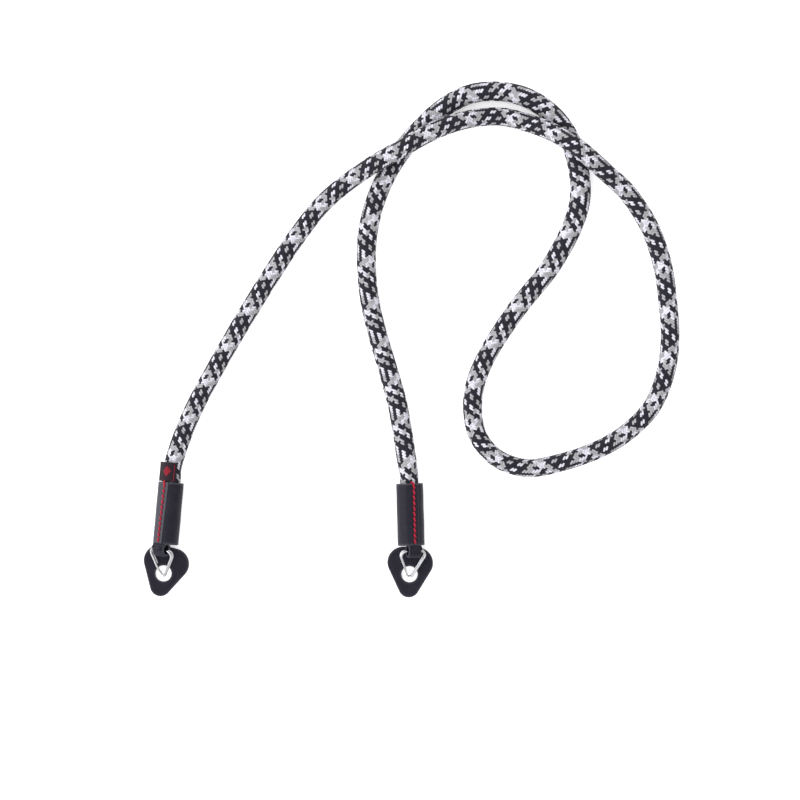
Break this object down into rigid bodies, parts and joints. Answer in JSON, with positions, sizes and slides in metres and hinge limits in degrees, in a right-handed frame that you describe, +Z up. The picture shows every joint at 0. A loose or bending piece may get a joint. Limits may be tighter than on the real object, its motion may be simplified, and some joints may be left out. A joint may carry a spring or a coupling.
{
  "type": "camera neck strap",
  "caption": "Braided rope neck strap with stitched leather sleeves, triangular split rings, leather shields and a cloth tag, laid flat with a loop.",
  "frame": {"origin": "on the surface that the strap lies on, in the middle of the box round the two leather ends", "axes": "+Z up from the surface, +Y from the leather ends up the strap, +X from the left end to the right end"},
  "size_m": [0.276, 0.2653, 0.0192],
  "materials": {
    "braid": "braided sheath of black, white and grey yarns",
    "leather": "smooth black leather with a faint grain and dark edges",
    "nickel": "bright nickel plated wire",
    "label_cloth": "tightly woven black tape with a small red woven figure",
    "thread": "red waxed two-ply thread"
  },
  "bodies": {
    "root": {"rope": "braid", "left_sleeve": "leather", "right_sleeve": "leather", "left_ring": "nickel", "right_ring": "nickel", "left_shield": "leather", "right_shield": "leather", "label": "label_cloth"}
  },
  "joints": []
}
